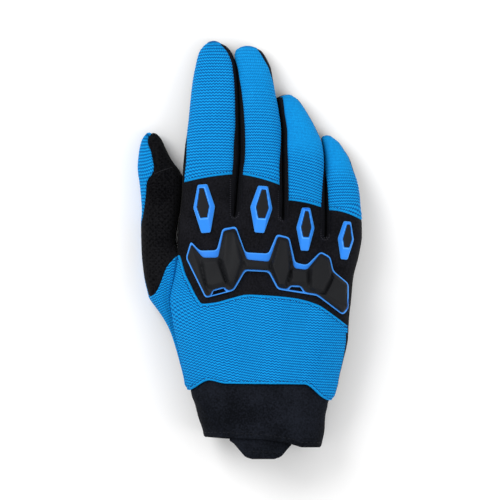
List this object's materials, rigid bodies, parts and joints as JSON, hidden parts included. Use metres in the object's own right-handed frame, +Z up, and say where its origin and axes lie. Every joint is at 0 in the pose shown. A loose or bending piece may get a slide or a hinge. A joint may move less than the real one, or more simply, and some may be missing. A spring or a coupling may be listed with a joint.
{
  "type": "motocross riding glove",
  "caption": "Right-hand off-road riding glove lying palm down, with an open slip-on cuff, hollow fingers, moulded knuckle guard and finger pads.",
  "frame": {"origin": "middle of the glove's base, on the surface that the palm lies on", "axes": "+Y from the cuff towards the finger tips, +Z up from the palm to the back of the hand, the thumb on the -X side"},
  "size_m": [0.1228, 0.2304, 0.0441],
  "materials": {
    "blue_cloth": "ribbed stretch knit, matt",
    "black_foam": "padded stretch fabric, matt",
    "black_suede": "perforated synthetic suede, matt",
    "black_mesh": "fine stretch mesh",
    "cuff_black": "knit-faced neoprene, matt",
    "blue_rubber": "moulded, satin",
    "grey_rubber": "moulded, matt with soft sheen"
  },
  "bodies": {
    "root": {"index_finger_back": "blue_cloth", "middle_finger_back": "blue_cloth", "ring_finger_back": "blue_cloth", "little_finger_back": "blue_cloth", "thumb_back": "blue_cloth", "hand_back": "blue_cloth", "knuckle_panel": "black_foam", "palm": "black_suede", "thumb_palm": "black_suede", "fourchette_index_middle": "black_mesh", "fourchette_middle_ring": "black_mesh", "fourchette_ring_little": "black_mesh", "cuff": "cuff_black", "pull_tab": "cuff_black", "knuckle_guard_base": "blue_rubber", "index_pad_frame": "blue_rubber", "middle_pad_frame": "blue_rubber", "ring_pad_frame": "blue_rubber", "little_pad_frame": "blue_rubber", "knuckle_guard": "grey_rubber", "index_pad_insert": "grey_rubber", "middle_pad_insert": "grey_rubber", "ring_pad_insert": "grey_rubber", "little_pad_insert": "grey_rubber"}
  },
  "joints": []
}
